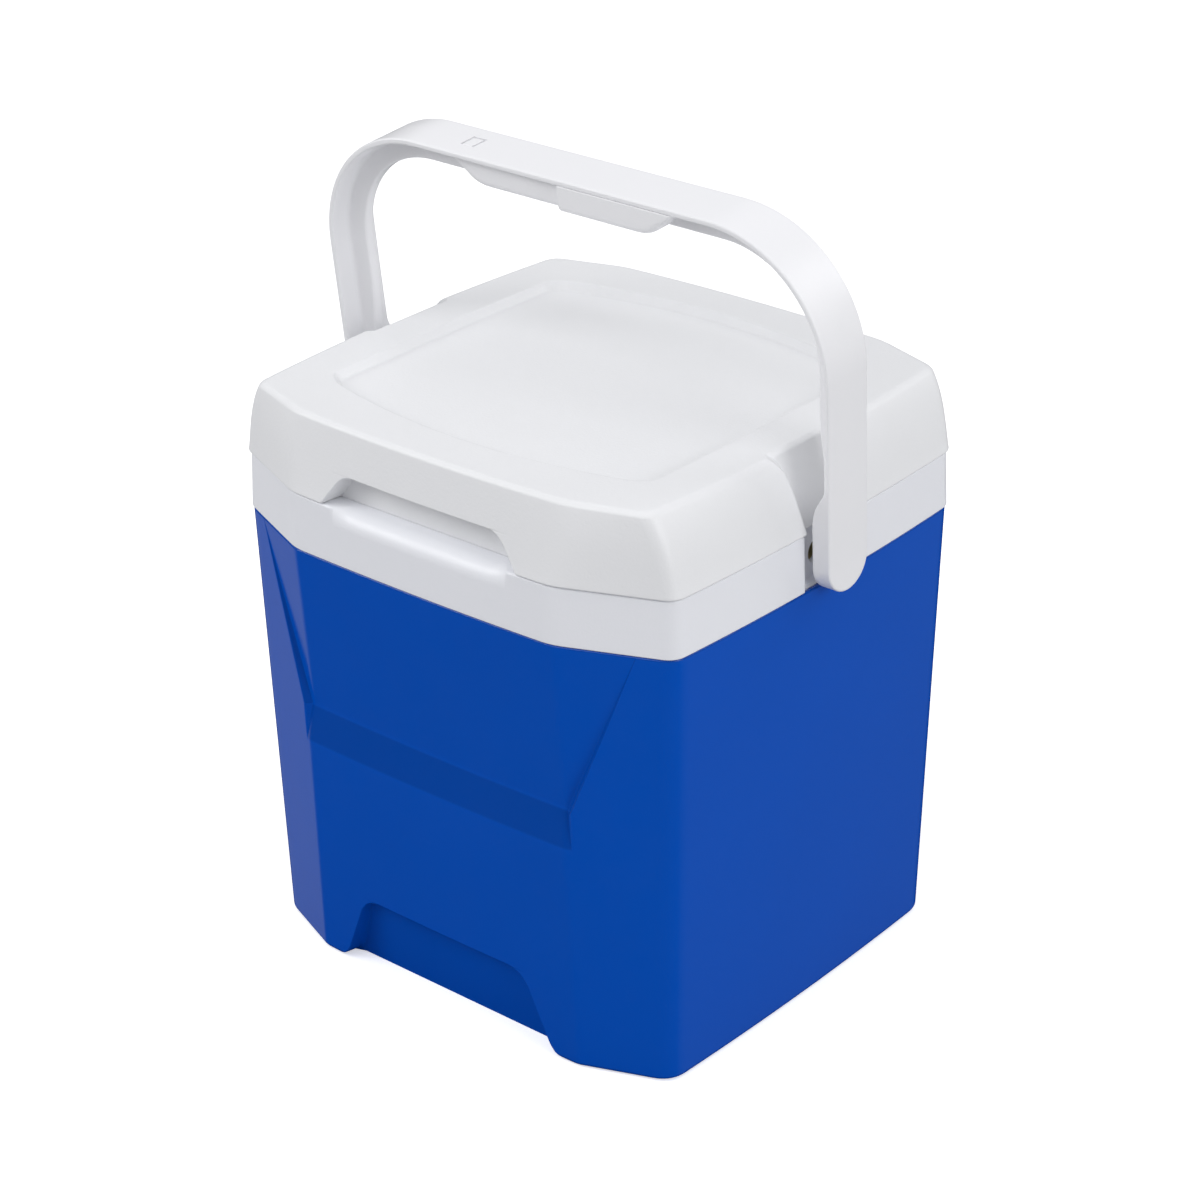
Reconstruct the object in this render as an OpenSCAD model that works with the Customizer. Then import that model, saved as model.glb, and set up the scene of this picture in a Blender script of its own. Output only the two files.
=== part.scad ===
// Personal cooler chest: insulated octagonal body, lift-off lid and swing-up bail handle.
// Origin at the centre of the base, +Z up, front (finger notch side) towards -Y.

/* [Body] */
// Width of the body at its top edge, without the bow of the ends
body_w = 270; // [250:1:300]
// Depth of the body at its top edge, without the bow of the front
body_d = 259; // [240:1:290]
// Height of the blue outer shell
shell_h = 232; // [200:1:260]
// How much narrower the base is than the top edge
taper_w = 12; // [4:1:24]
// How much shallower the base is than the top edge
taper_d = 18; // [4:1:26]
// Length of each corner chamfer along X, at the top edge
chamfer_x = 54; // [40:1:64]
// Length of each corner chamfer along Y, at the top edge
chamfer_y = 22.5; // [14:1:30]
// Bulge of the two end faces
bow_end = 3.6; // [1:0.1:5]
// Bulge of the front and back faces
bow_front = 1.6; // [0.5:0.1:4]
// Wall thickness of the outer shell
shell_wall = 2.4; // [2:0.1:3.5]

/* [Panels] */
// Depth of the front and back upper panel at its shelf
panel_depth = 4; // [1:0.5:6]
// Height of the shelf's upper line
shelf_top = 144; // [120:1:170]
// Height of the shelf's lower line
shelf_bottom = 124; // [100:1:140]
// Height of the arch cut into the foot of the front and back
arch_h = 43; // [30:1:60]
// Half width of the arch at its top
arch_top = 52; // [40:1:60]
// Half width of the arch at the base
arch_base = 70; // [62:1:78]
// Depth of the arch at the base
arch_depth = 10.5; // [6:0.5:14]

/* [Liner] */
// Height of the collar that the lid rests on
collar_h = 29; // [20:1:40]
// Insulated wall thickness at the mouth
mouth_wall = 19; // [16:1:24]
// How much the tub narrows from mouth to floor, each side
tub_taper = 8; // [4:1:12]
// Insulated floor thickness
floor_t = 18; // [14:1:26]
// Wall thickness of the liner
liner_wall = 2.2; // [1.8:0.1:3]

/* [Lid] */
// Height of the lid above the collar
lid_h = 40; // [32:1:50]
// How far the lid overhangs the collar
lid_overhang = 1; // [0.5:0.1:2.5]
// Inset of the lid's top edge from its lower edge, at the two ends
lid_inset = 13.5; // [8:0.5:16]
// Inset of the lid's top edge from its lower edge, at the front and back
lid_inset_d = 8; // [5:0.5:12]
// Depth of the recess in the top of the lid
recess_depth = 4.5; // [2:0.5:6]
// Wall thickness of the lid cover
lid_wall = 2.6; // [2:0.1:3.5]
// Depth of the plug below the collar's rim
plug_depth = 12; // [8:1:18]
// Half width of the finger notch at the seam
notch_half = 61; // [50:1:66]
// Height of the finger notch
notch_h = 17; // [12:1:20]
// How far the finger notch reaches in under the lid
notch_depth = 12; // [8:1:16]

/* [Handle] */
// Half width over the two ears, at the pivot
handle_half = 151.5; // [150:0.5:156]
// Height of the top bar above the pivot
handle_reach = 162.5; // [155:0.5:170]
// Width of the arms and the top bar
handle_w = 30; // [24:1:34]
// Depth of the whole T section, web and rib
rib_depth = 14.3; // [10:0.1:15]
// Radius of the two bends
bend_r = 65; // [50:1:75]
// Forward lean of the handle as modelled
handle_tilt = 4.9; // [0:0.1:8]
// Radius of the pivot pegs
peg_r = 6; // [5:0.5:7]

/* [Hidden] */

eps = 0.01;
// Air gap left between parts that are moulded or foamed against each other
gap = 0.25;
lid_gap = 0.2;
collar_draft = 0.9;
shell_lip_r = 1.2;
shell_base_r = 3.5;
snap_lip_h = 10;
rim_t = 2.6;
side_corner_r = 9;
// Side wall of the upper panel: its run for each millimetre of depth, and its least run
panel_slope = 0.35;
panel_edge = 0.3;
// How far past the corner the panel reaches at its shelf
panel_margin = 4;
front_corner_r = 12;

rim_z = shell_h + collar_h;
lid_z = rim_z + lid_gap;
top_z = lid_z + lid_h;
pivot_z = shell_h + collar_h / 2;
half_w = body_w / 2;
half_d = body_d / 2;
tub_half_w = half_w - mouth_wall;
tub_half_d = half_d - mouth_wall;
lid_half_w = half_w - collar_draft + lid_overhang;
lid_half_d = half_d - collar_draft + lid_overhang;
lid_base_t = 2.2;
// How much narrower the lid's plug is than the tub, each side
plug_gap = 2.4;

// Outline of the tub's mouth
tub_chamfer = [46, 19];
tub_bow = [2, 1.2];
tub_corner_r = 20;
// Rounding between the tub's floor and its walls
tub_floor_r = 12;

// Recess in the lid's top: half sizes, corner and how far its front and back bow out
recess_half = [99.5, 85];
recess_corner = [9, 7];
recess_bow = [0.8, 13];

// How far in from the body's width the floor of each lid scoop lies at its top
scoop_in = 11;

// Skirt of the liner that snaps inside the shell's top edge
skirt_t = 2.4;
// Radius of the collar's edge where fingers reach under the lid
finger_r = 9;

// Handle section and ears
web_t = 3;
rib_t = 6;
lean = 0.03;
ear_t = 10;
ear_top = 40;
slant = sqrt(1 + lean * lean);
peg_clearance = 0.05;
peg_end = tub_half_w + 6;

// Channel in the collar behind each ear, and its backing
channel_half = 15.5;
channel_x = half_w - 2.5;
channel_back = 2.6;
channel_edge = channel_half + channel_back;
boss_r = 9.6;
boss_x = tub_half_w + 3;

// Grip under the top bar
grip_half_top = 69;
grip_half_base = 55;
grip_drop = 17;
grip_w = 22;
tab_x = -63;
tab_half = [4, 4.8];

// ---------- outlines ----------

function lerp(p, q, t) = p + (q - p) * t;

// Point at distance d from corner c towards point p
function along(c, p, d) = c + (p - c) * d / norm(p - c);

// Rounded corner at c between p and q: n + 1 points, starting d away from c
function rounded(p, c, q, d, n) =
    let (s = along(c, p, d), e = along(c, q, d))
    [for (i = [0:n]) let (t = i / n) s * (1 - t) * (1 - t) + c * 2 * t * (1 - t) + e * t * t];

// Three points where the chamfer meets the front: a corner rounded over d on each leg
function plain_turn(side, front, d) =
    rounded(side, front, [0, front.y], d, 2);

// The same, where the upper panel lies sink below the faces: the top of its side wall,
// crease out along the chamfer, then the wall's foot, then the corner of the panel
function panel_turn(side, front, crease, sink) =
    let (
        leg = (side - front) / norm(side - front),
        normal = [-leg.y, leg.x],
        brow = front + leg * crease,
        foot = brow - normal * sink - leg * (panel_slope * sink + panel_edge)
    )
    [brow, foot, [front.x - sink * normal.x / (1 + normal.y), front.y - sink]];

// One quarter of the eight-sided outline, from the middle of an end face to the middle
// of the front face, which lies sink below its full bow
function quarter(a, b, cx, cy, be, bf, r, turn, sink) =
    let (
        side = [a, b - cy],
        front = [a - cx, b],
        cut = r * 0.66,
        y_last = side.y - cut
    )
    concat(
        [for (i = [0:3]) let (y = y_last * i / 4) [a + be * (1 - pow(y / side.y, 2)), y]],
        rounded([a + be * (1 - pow(y_last / side.y, 2)), y_last], side, front, cut, 4),
        turn,
        [for (i = [2:-1:0])
            let (x = turn[2].x * i / 3) [x, b + bf * (1 - pow(x / front.x, 2)) - sink]]
    );

// Full closed ring of points at height z from a quarter outline
function ring(q, z) =
    let (n = len(q) - 1)
    concat(
        [for (i = [0:n - 1]) [q[i].x, q[i].y, z]],
        [for (i = [0:n - 1]) [-q[n - i].x, q[n - i].y, z]],
        [for (i = [0:n - 1]) [-q[i].x, -q[i].y, z]],
        [for (i = [0:n - 1]) [q[n - i].x, -q[n - i].y, z]]
    );

// Plain outline: half width a, half depth b, chamfer cx by cy, bows be and bf
function plan(a, b, cx, cy, be, bf, r, z) =
    ring(quarter(a, b, cx, cy, be, bf, r,
        plain_turn([a, b - cy], [a - cx, b], front_corner_r / 2), 0), z);

// How deep the upper panel is at height z, from 0 to 1
function panel_at(z) =
    z >= shell_h ? 0 :
    z >= shelf_top ? (shell_h - z) / (shell_h - shelf_top) :
    z >= shelf_bottom ? (z - shelf_bottom) / (shelf_top - shelf_bottom) : 0;

// How far out along the chamfer the panel's side wall starts at height z
function crease_at(z) =
    let (u = max(0, (z - shelf_top) / (shell_h - shelf_top)))
    panel_margin + u * 0.62 * norm([chamfer_x, chamfer_y]);

// Body outline at height z, moved inwards by inset, with its upper panel
function body_ring(z, inset, height) =
    let (
        t = z / shell_h,
        a = half_w - taper_w / 2 * (1 - t) - inset,
        b = half_d - taper_d / 2 * (1 - t) - inset,
        cx = lerp(chamfer_x - 10, chamfer_x, t),
        cy = lerp(chamfer_y - 5, chamfer_y, t),
        sink = panel_depth * panel_at(z)
    )
    ring(quarter(
        a, b, cx, cy, lerp(bow_end - 1.2, bow_end, t), bow_front, side_corner_r,
        panel_turn([a, b - cy], [a - cx, b], crease_at(z), sink), sink), height);

// Tub outline at height z, moved outwards by grow
function tub_ring(z, grow) =
    let (t = (z - floor_t) / (rim_z - floor_t))
    plan(
        tub_half_w - tub_taper * (1 - t) + grow, tub_half_d - tub_taper * (1 - t) + grow,
        tub_chamfer.x, tub_chamfer.y, tub_bow.x, tub_bow.y, tub_corner_r, z);

// Closed skin over a list of rings, with a flat face on the first and the last
module skin(rings) {
    m = len(rings[0]);
    last = len(rings) - 1;
    polyhedron(
        points = [for (r = rings) each r],
        faces = concat(
            [[for (i = [0:m - 1]) i]],
            [for (k = [0:last - 1]) for (i = [0:m - 1])
                let (j = (i + 1) % m, p = k * m, q = p + m)
                    each [[p + i, q + i, q + j], [p + i, q + j, p + j]]],
            [[for (i = [m - 1:-1:0]) last * m + i]]
        ),
        convexity = 8
    );
}

// ---------- outer shell ----------

// Both halves of an outline that is the same on either side of its middle
function both_sides(half) = concat(half, [for (i = [len(half) - 1:-1:0]) [-half[i].x, half[i].y]]);

// Extrudes an outline drawn in X and height, from y0 to y1
module across(outline, y0, y1) {
    translate([0, y1, 0])
        rotate([90, 0, 0])
            linear_extrude(height = y1 - y0) polygon(outline);
}

// Cutter for one arch: its back face slopes in towards the base
module arch_cutter(grow) {
    base = [arch_base + grow, 0];
    crown = [arch_top + grow, arch_h + grow];
    half = concat(
        [[base.x + 16, -5]],
        rounded([base.x + 16, 0], base, crown, 9, 4),
        rounded(base, crown, [0, crown.y], 10, 4)
    );
    base_y = half_d - taper_d / 2;
    function back_y(z) = lerp(base_y - arch_depth, base_y + 1.5 - arch_depth * 0.3, z / arch_h) - grow;
    front_y = half_d + 20;
    intersection() {
        across(both_sides(half), -front_y, 0);
        rotate([90, 0, -90])
            translate([0, 0, -half_w])
                linear_extrude(height = body_w)
                    polygon([[back_y(-8), -8], [front_y + 1, -8], [front_y + 1, 80], [back_y(80), 80]]);
    }
}

module both_arches(grow) {
    arch_cutter(grow);
    rotate([0, 0, 180]) arch_cutter(grow);
}

module shell_solid() {
    skin([
        body_ring(0, shell_base_r, 0),
        body_ring(shell_base_r * 0.134, shell_base_r * 0.5, shell_base_r * 0.134),
        body_ring(shell_base_r * 0.5, shell_base_r * 0.134, shell_base_r * 0.5),
        body_ring(shell_base_r, 0, shell_base_r),
        body_ring(60, 0, 60),
        body_ring(shelf_bottom, 0, shelf_bottom),
        body_ring(shelf_top, 0, shelf_top),
        body_ring((shelf_top + shell_h) / 2, 0, (shelf_top + shell_h) / 2),
        body_ring(shell_h - shell_lip_r, 0, shell_h - shell_lip_r),
        body_ring(shell_h, 0.4, shell_h - 0.4),
        body_ring(shell_h, shell_lip_r, shell_h)
    ]);
}

// Room inside the shell: the shell's shape less its wall and t
module shell_room(t) {
    w = shell_wall + t;
    difference() {
        skin([
            body_ring(w, w + 5, w),
            body_ring(w + 2, w + 2, w + 2),
            body_ring(w + 6, w, w + 6),
            body_ring(60, w, 60),
            body_ring(shelf_bottom, w, shelf_bottom),
            body_ring(shelf_top, w, shelf_top),
            body_ring((shelf_top + shell_h) / 2, w, (shelf_top + shell_h) / 2),
            body_ring(shell_h, w, shell_h + 1)
        ]);
        both_arches(w);
    }
}

module outer_shell() {
    color([0.03, 0.22, 0.62])
    difference() {
        shell_solid();
        both_arches(0);
        shell_room(0);
    }
}

// ---------- inner liner with its collar ----------

// Collar outline at height z, moved inwards by inset
function collar_ring(z, inset) =
    let (t = max(0, (z - shell_h) / collar_h))
    plan(
        half_w - collar_draft * t - inset, half_d - collar_draft * t - inset,
        chamfer_x, chamfer_y, bow_end, bow_front, side_corner_r, z);

module liner_skin() {
    w = liner_wall;
    lip_in = shell_wall + gap;
    skin([
        tub_ring(floor_t - w, w - 10),
        tub_ring(floor_t - w + 3, w - 3),
        tub_ring(floor_t + 8, w),
        tub_ring(rim_z - rim_t, w),
        collar_ring(rim_z - rim_t, 3),
        collar_ring(shell_h + 5, 3.2),
        body_ring(shell_h, lip_in + skirt_t, shell_h + 1),
        body_ring(shell_h - snap_lip_h, lip_in + skirt_t, shell_h - snap_lip_h),
        body_ring(shell_h - snap_lip_h, lip_in + 0.6, shell_h - snap_lip_h),
        body_ring(shell_h - snap_lip_h + 3, lip_in + 0.15, shell_h - snap_lip_h + 3),
        body_ring(shell_h, lip_in, shell_h),
        collar_ring(shell_h, 0.2),
        collar_ring(shell_h + 0.6, 0),
        collar_ring(rim_z - 1.2, 0),
        collar_ring(rim_z - 0.35, 0.35),
        collar_ring(rim_z, 1.2),
        tub_ring(rim_z, 2.4),
        tub_ring(rim_z - 0.8, 0.8),
        tub_ring(rim_z - 2.6, 0),
        tub_ring(floor_t + 12, 0),
        tub_ring(floor_t + 4, -2.4),
        tub_ring(floor_t + 1, -6),
        tub_ring(floor_t, -tub_floor_r)
    ]);
}

// Backing of the handle channel and the boss that holds the peg, on the +X end
module channel_solid(grow) {
    translate([channel_x - channel_back - grow, -channel_edge - grow, shell_h - 2 - grow])
        cube([channel_back + 3.4 + grow, 2 * (channel_edge + grow), collar_h - 0.4 + 2 * grow]);
    translate([boss_x, 0, pivot_z])
        rotate([0, 90, 0])
            cylinder(r = boss_r + grow, h = channel_x - channel_back - boss_x + eps, $fn = 48);
}

module channel_cut() {
    translate([channel_x, -channel_half, shell_h + eps])
        cube([20, 2 * channel_half, collar_h + 5]);
    translate([peg_end - 1, 0, pivot_z])
        rotate([0, 90, 0])
            cylinder(r = peg_r + peg_clearance, h = 30, $fn = 64);
}

// Rounds the collar's front edge where fingers reach under the lid
module finger_cut() {
    r = finger_r;
    y = half_d - collar_draft + bow_front;
    difference() {
        translate([-notch_half + 4, -y - 5, rim_z - r])
            cube([2 * (notch_half - 4), r + 5, r + 5]);
        translate([-notch_half, -y + r, rim_z - r])
            rotate([0, 90, 0])
                cylinder(r = r, h = 2 * notch_half, $fn = 64);
    }
}

module inner_liner() {
    color([0.93, 0.94, 0.96])
    difference() {
        union() {
            liner_skin();
            channel_solid(0);
            mirror([1, 0, 0]) channel_solid(0);
            translate([-notch_half - 2, -half_d + 1.5, rim_z - 12])
                cube([2 * notch_half + 4, 12, 11]);
        }
        channel_cut();
        mirror([1, 0, 0]) channel_cut();
        finger_cut();
    }
}

module body_foam() {
    w = liner_wall + gap;
    lip_in = shell_wall + gap + skirt_t + gap;
    color([0.96, 0.9, 0.62])
    difference() {
        intersection() {
            skin([
                body_ring(0, -20, -1),
                body_ring(shell_h - snap_lip_h - gap, -20, shell_h - snap_lip_h - gap),
                body_ring(shell_h - snap_lip_h - gap, lip_in, shell_h - snap_lip_h - gap),
                body_ring(shell_h, lip_in + 1, shell_h),
                collar_ring(rim_z - rim_t - gap, lip_in + 1)
            ]);
            union() {
                shell_room(gap);
                translate([-half_w, -half_d, shell_h])
                    cube([body_w, body_d, collar_h]);
            }
        }
        skin([
            tub_ring(floor_t - w, w - 9.5),
            tub_ring(floor_t - w + 3, w - 2.5),
            tub_ring(floor_t + 8, w),
            tub_ring(rim_z + 2, w)
        ]);
        channel_solid(gap);
        mirror([1, 0, 0]) channel_solid(gap);
        translate([-notch_half - 3, -half_d, rim_z - 13])
            cube([2 * notch_half + 6, 14, 20]);
    }
}

// ---------- lid ----------

// Lid outline at height z, moved inwards by inset
function lid_ring(z, inset, height) =
    let (
        t = (z - lid_z) / lid_h,
        s = max(t, 0),
        lean_in = lid_inset * (0.6 * s + 0.4 * pow(s, 4))
    )
    plan(
        lid_half_w - lean_in - inset, lid_half_d - lid_inset_d * s - inset,
        lerp(chamfer_x, chamfer_x - 16, t), lerp(chamfer_y, chamfer_y - 10, t),
        bow_end + 2 * t, bow_front + 1.5 * t, side_corner_r, height);

// Outline of the recess in the lid's top, moved outwards by grow
function recess_ring(z, grow) =
    plan(
        recess_half.x + grow, recess_half.y + grow,
        recess_corner.x, recess_corner.y, recess_bow.x, recess_bow.y, 6, z);

module lid_solid() {
    skin([
        lid_ring(lid_z, 0.3, lid_z),
        lid_ring(lid_z + 0.8, 0, lid_z + 0.8),
        for (t = [0.16, 0.34, 0.52, 0.68, 0.82, 0.92])
            lid_ring(lid_z + lid_h * t, 0, lid_z + lid_h * t),
        lid_ring(top_z, -0.2, top_z - 1.4),
        lid_ring(top_z, 0.5, top_z - 0.4),
        lid_ring(top_z, 1.8, top_z),
        recess_ring(top_z, 0.8),
        recess_ring(top_z - 0.6, 0),
        recess_ring(top_z - recess_depth, -2.6)
    ]);
}

// Room inside the lid cover, from its lower edge up, less t
module lid_room(t) {
    w = lid_wall + t;
    skin([
        lid_ring(lid_z, w, lid_z - 5),
        for (k = [0, 0.2, 0.34, 0.52, 0.68, 0.82])
            lid_ring(lid_z + lid_h * k, w, lid_z + lid_h * k),
        lid_ring(top_z - w, w + 0.4, top_z - w),
        recess_ring(top_z - w, w + 0.8),
        recess_ring(top_z - recess_depth - w, w - 2)
    ]);
}

// Pocket behind the finger notch, widened by grow
module notch_cutter(grow) {
    low = [notch_half + grow, lid_z - 6];
    seam = [notch_half + grow, lid_z];
    high = [notch_half - 13 + grow, lid_z + notch_h + grow];
    half = concat([low, seam], rounded(seam, high, [0, high.y], 5, 4));
    across(both_sides(half), -half_d - 20, -lid_half_d + notch_depth + grow);
}

// Scoop in the +X side of the lid that the handle's rib passes through
module scoop_cutter(grow) {
    half = [
        [13.5 + grow, lid_z - 6],
        [13.5 + grow, lid_z],
        [22 + grow, lid_z + lid_h * 0.82],
        [26 + grow, lid_z + lid_h * 0.95],
        [32 + grow, top_z + 4]
    ];
    function floor_x(z) = lerp(half_w - 0.5, half_w - scoop_in, (z - lid_z) / lid_h) - grow;
    out_x = half_w + 20;
    intersection() {
        rotate([0, 0, 90]) across(both_sides(half), -out_x, 0);
        across([
            [floor_x(lid_z - 8), lid_z - 8],
            [out_x + 1, lid_z - 8],
            [out_x + 1, top_z + 6],
            [floor_x(top_z + 6), top_z + 6]
        ], -50, 50);
    }
}

module lid_pockets(grow) {
    notch_cutter(grow);
    scoop_cutter(grow);
    mirror([1, 0, 0]) scoop_cutter(grow);
}

module lid_cover() {
    color([0.9, 0.91, 0.92])
    difference() {
        lid_solid();
        difference() {
            lid_room(0);
            lid_pockets(lid_wall);
        }
        lid_pockets(0);
    }
}

module lid_liner() {
    plug = plug_gap;
    color([0.93, 0.94, 0.95])
    difference() {
        skin([
            tub_ring(rim_z - plug_depth, -plug - 3),
            tub_ring(rim_z - plug_depth + 3, -plug),
            tub_ring(lid_z, -plug),
            lid_ring(lid_z, lid_wall + gap, lid_z),
            lid_ring(lid_z + lid_base_t, lid_wall + gap, lid_z + lid_base_t),
            tub_ring(lid_z + lid_base_t, -plug - lid_base_t),
            tub_ring(rim_z - plug_depth + 3, -plug - lid_base_t),
            tub_ring(rim_z - plug_depth + lid_base_t, -plug - lid_base_t - 3)
        ]);
        lid_pockets(lid_wall + gap);
    }
}

module lid_foam() {
    plug = plug_gap + lid_base_t + gap;
    w = lid_wall + gap;
    low = lid_z + lid_base_t + gap;
    color([0.96, 0.9, 0.62])
    difference() {
        skin([
            tub_ring(rim_z - plug_depth + lid_base_t + gap, -plug - 3),
            tub_ring(rim_z - plug_depth + 4, -plug),
            tub_ring(low, -plug),
            lid_ring(low, w, low),
            for (k = [0.2, 0.34, 0.52, 0.68, 0.82])
                lid_ring(lid_z + lid_h * k, w, lid_z + lid_h * k),
            lid_ring(top_z - w, w + 0.4, top_z - w),
            recess_ring(top_z - w, w + 0.8),
            recess_ring(top_z - recess_depth - w, w - 2)
        ]);
        lid_pockets(w);
    }
}

// ---------- handle ----------

// Right half of the handle's path, off inside its outer face, in the plane of the handle
function arm_point(off, s) = [handle_half + lean * s - off * slant, s];
function half_path(off, s0) =
    let (
        c = [handle_half + lean * (handle_reach - bend_r) - bend_r * slant, handle_reach - bend_r],
        a0 = -atan(lean)
    )
    concat(
        [arm_point(off, s0)],
        [for (i = [0:14]) let (a = lerp(a0, 90, i / 14)) c + (bend_r - off) * [cos(a), sin(a)]]
    );

// Moves a shape drawn in the handle's plane, thickness along Y, to the pivot and its lean
module at_pivot() {
    translate([0, 0, pivot_z]) rotate([handle_tilt, 0, 0]) children();
}

// Extrudes an outline drawn in X and height, centred on the handle's plane
module slab(outline, w) {
    rotate([90, 0, 0])
        translate([0, 0, -w / 2])
            linear_extrude(height = w) polygon(outline);
}

module ear() {
    translate([handle_half - ear_t, 0, 0])
        rotate([0, 90, 0])
            cylinder(r = handle_w / 2, h = ear_t, $fn = 64);
    slab([
        [handle_half, 0],
        [handle_half - ear_t, 0],
        [handle_half - ear_t, ear_top * 0.55],
        [handle_half - ear_t + 1.2, ear_top * 0.75],
        [handle_half - ear_t + 3.4, ear_top * 0.9],
        arm_point(web_t - 0.5, ear_top),
        arm_point(1, ear_top),
        arm_point(0, ear_top * 0.4)
    ], handle_w);
    translate([peg_end, 0, 0])
        rotate([0, 90, 0])
            cylinder(r = peg_r, h = handle_half - ear_t - peg_end + eps, $fn = 64);
}

// Outline between an outer and an inner path, each drawn for the right half only
function band(outer, inner) =
    concat(
        outer,
        [for (i = [len(outer) - 1:-1:0]) [-outer[i].x, outer[i].y]],
        [for (p = inner) [-p.x, p.y]],
        [for (i = [len(inner) - 1:-1:0]) inner[i]]
    );

module handle_bail() {
    rib_in = concat(
        [
            arm_point(ear_t - 0.5, 10),
            arm_point(ear_t - 0.5, 30),
            arm_point(ear_t + 2.5, 50)
        ],
        half_path(rib_depth, 68)
    );
    color([0.95, 0.95, 0.97])
    at_pivot()
    difference() {
        union() {
            slab(band(half_path(0, 0), half_path(web_t, 0)), handle_w);
            slab(band(half_path(web_t - 0.5, 0), rib_in), rib_t);
            ear();
            mirror([1, 0, 0]) ear();
        }
        grip_slot(0.2);
    }
}

// Slot through the web for the grip's snap tab, or the tab's own block when grow is 0
module grip_slot(grow) {
    translate([tab_x - tab_half.x - grow, -tab_half.y - grow, handle_reach - rib_depth - 2])
        cube([2 * (tab_half.x + grow), 2 * (tab_half.y + grow), rib_depth + 2.8]);
}

module handle_grip() {
    under = handle_reach - web_t - gap;
    low = handle_reach - grip_drop;
    outline = concat(
        [[grip_half_top, under]],
        rounded([grip_half_top, under], [grip_half_base, low], [0, low], 7, 4),
        rounded([0, low], [-grip_half_base, low], [-grip_half_top, under], 7, 4),
        [[-grip_half_top, under]]
    );
    color([0.96, 0.96, 0.97])
    at_pivot()
    union() {
        difference() {
            union() {
                slab(outline, grip_w);
                intersection() {
                    slab(outline, handle_w);
                    translate([0, -handle_w, 0])
                        cube([handle_w * 3, handle_w * 2, handle_reach + 5]);
                }
            }
            translate([-grip_half_top - 1, -rib_t / 2 - gap, handle_reach - rib_depth - gap])
                cube([2 * grip_half_top + 2, rib_t + 2 * gap, rib_depth]);
        }
        intersection() {
            grip_slot(0);
            translate([tab_x - 10, -10, low + 1])
                cube([20, 20, handle_reach - low]);
        }
    }
}

outer_shell();
inner_liner();
body_foam();
lid_cover();
lid_liner();
lid_foam();
handle_bail();
handle_grip();
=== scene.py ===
from math import radians, degrees, sin, cos, pi, sqrt, atan

import bmesh
import bpy
import numpy as np
from mathutils import Matrix, Vector


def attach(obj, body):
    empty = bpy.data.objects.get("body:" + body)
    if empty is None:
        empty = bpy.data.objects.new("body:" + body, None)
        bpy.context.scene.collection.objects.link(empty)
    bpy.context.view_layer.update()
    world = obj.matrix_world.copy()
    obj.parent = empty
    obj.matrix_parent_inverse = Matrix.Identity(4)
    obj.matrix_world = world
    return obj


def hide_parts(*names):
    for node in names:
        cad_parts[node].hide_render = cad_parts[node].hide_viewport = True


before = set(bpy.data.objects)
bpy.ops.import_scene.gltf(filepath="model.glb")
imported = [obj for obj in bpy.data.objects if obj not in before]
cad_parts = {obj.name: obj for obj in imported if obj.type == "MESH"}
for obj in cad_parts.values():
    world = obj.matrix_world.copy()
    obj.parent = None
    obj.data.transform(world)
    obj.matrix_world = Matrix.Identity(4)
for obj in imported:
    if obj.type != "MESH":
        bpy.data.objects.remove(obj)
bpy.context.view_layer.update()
MM = 0.001

# ---------- sizes, in mm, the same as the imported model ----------

HALF_W, HALF_D = 135.0, 129.5
SHELL_H, FOOT_R, LIP_R = 232.0, 3.5, 1.2
TAPER_W, TAPER_D = 12.0, 18.0
CHAMFER = np.array([54.0, 22.5])
CHAMFER_BASE = np.array([44.0, 17.5])
BOW_END, BOW_FRONT = 3.6, 1.6
SHELL_T, GAP = 2.4, 0.25
PANEL_DEPTH = 4.0
SHELF_TOP, SHELF_BOTTOM = 144.0, 124.0
ARCH_H, ARCH_TOP, ARCH_BASE, ARCH_DEPTH = 43.0, 52.0, 70.0, 10.5
RIM_Z, LID_Z, TOP_Z, PIVOT_Z = 261.0, 261.2, 301.2, 246.5
COLLAR_DRAFT = 0.9
MOUTH_WALL, TUB_TAPER, FLOOR_T, LINER_T = 19.0, 8.0, 18.0, 2.2
LID_HALF_W, LID_HALF_D = HALF_W + 0.1, HALF_D - 0.05
LID_H, LID_EDGE_R, SCOOP_IN = 40.0, 2.8, 10.5
LID_INSET, LID_INSET_D, LID_WALL, RECESS_DEPTH = 13.5, 8.0, 2.6, 4.5
NOTCH_HALF, NOTCH_H, NOTCH_DEPTH = 61.0, 17.0, 12.0
HANDLE_HALF, REACH, HANDLE_W = 151.5, 162.5, 30.0
BEND_R, TILT, PEG_R, WEB_T, RIB_T, LEAN = 65.0, 4.9, 6.0, 3.0, 6.0, 0.03
EAR_T = 10.0
CHANNEL_HALF, CHANNEL_X = 15.5, 132.5
FINGER_Z, FINGER_R = 252.0, 9.0
TAB_X = -63.0
SECTION_R = 1.0  # rounding of the handle's outer edges
SHELF_SOFT = 1.6  # how far the shelf's two bends are spread
SHARP = 48  # an edge bent by more than this many degrees stays sharp


# ---------- outlines ----------

def fillet(p, c, q, t0, t1, n):
    """Quadratic curve of n + 1 points that rounds corner c, t0 and t1 long on its two legs."""
    p, c, q = (np.asarray(v, float) for v in (p, c, q))
    s = c + (p - c) * t0 / np.linalg.norm(p - c)
    e = c + (q - c) * t1 / np.linalg.norm(q - c)
    u = np.linspace(0, 1, n + 1)[:, None]
    return s * (1 - u) ** 2 + 2 * c * u * (1 - u) + e * u ** 2


def ramp(d, full, none):
    """1 where d is at or past full, 0 at or past none, smooth between."""
    t = np.clip((none - d) / (none - full), 0, 1)
    return t * t * (3 - 2 * t)


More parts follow.
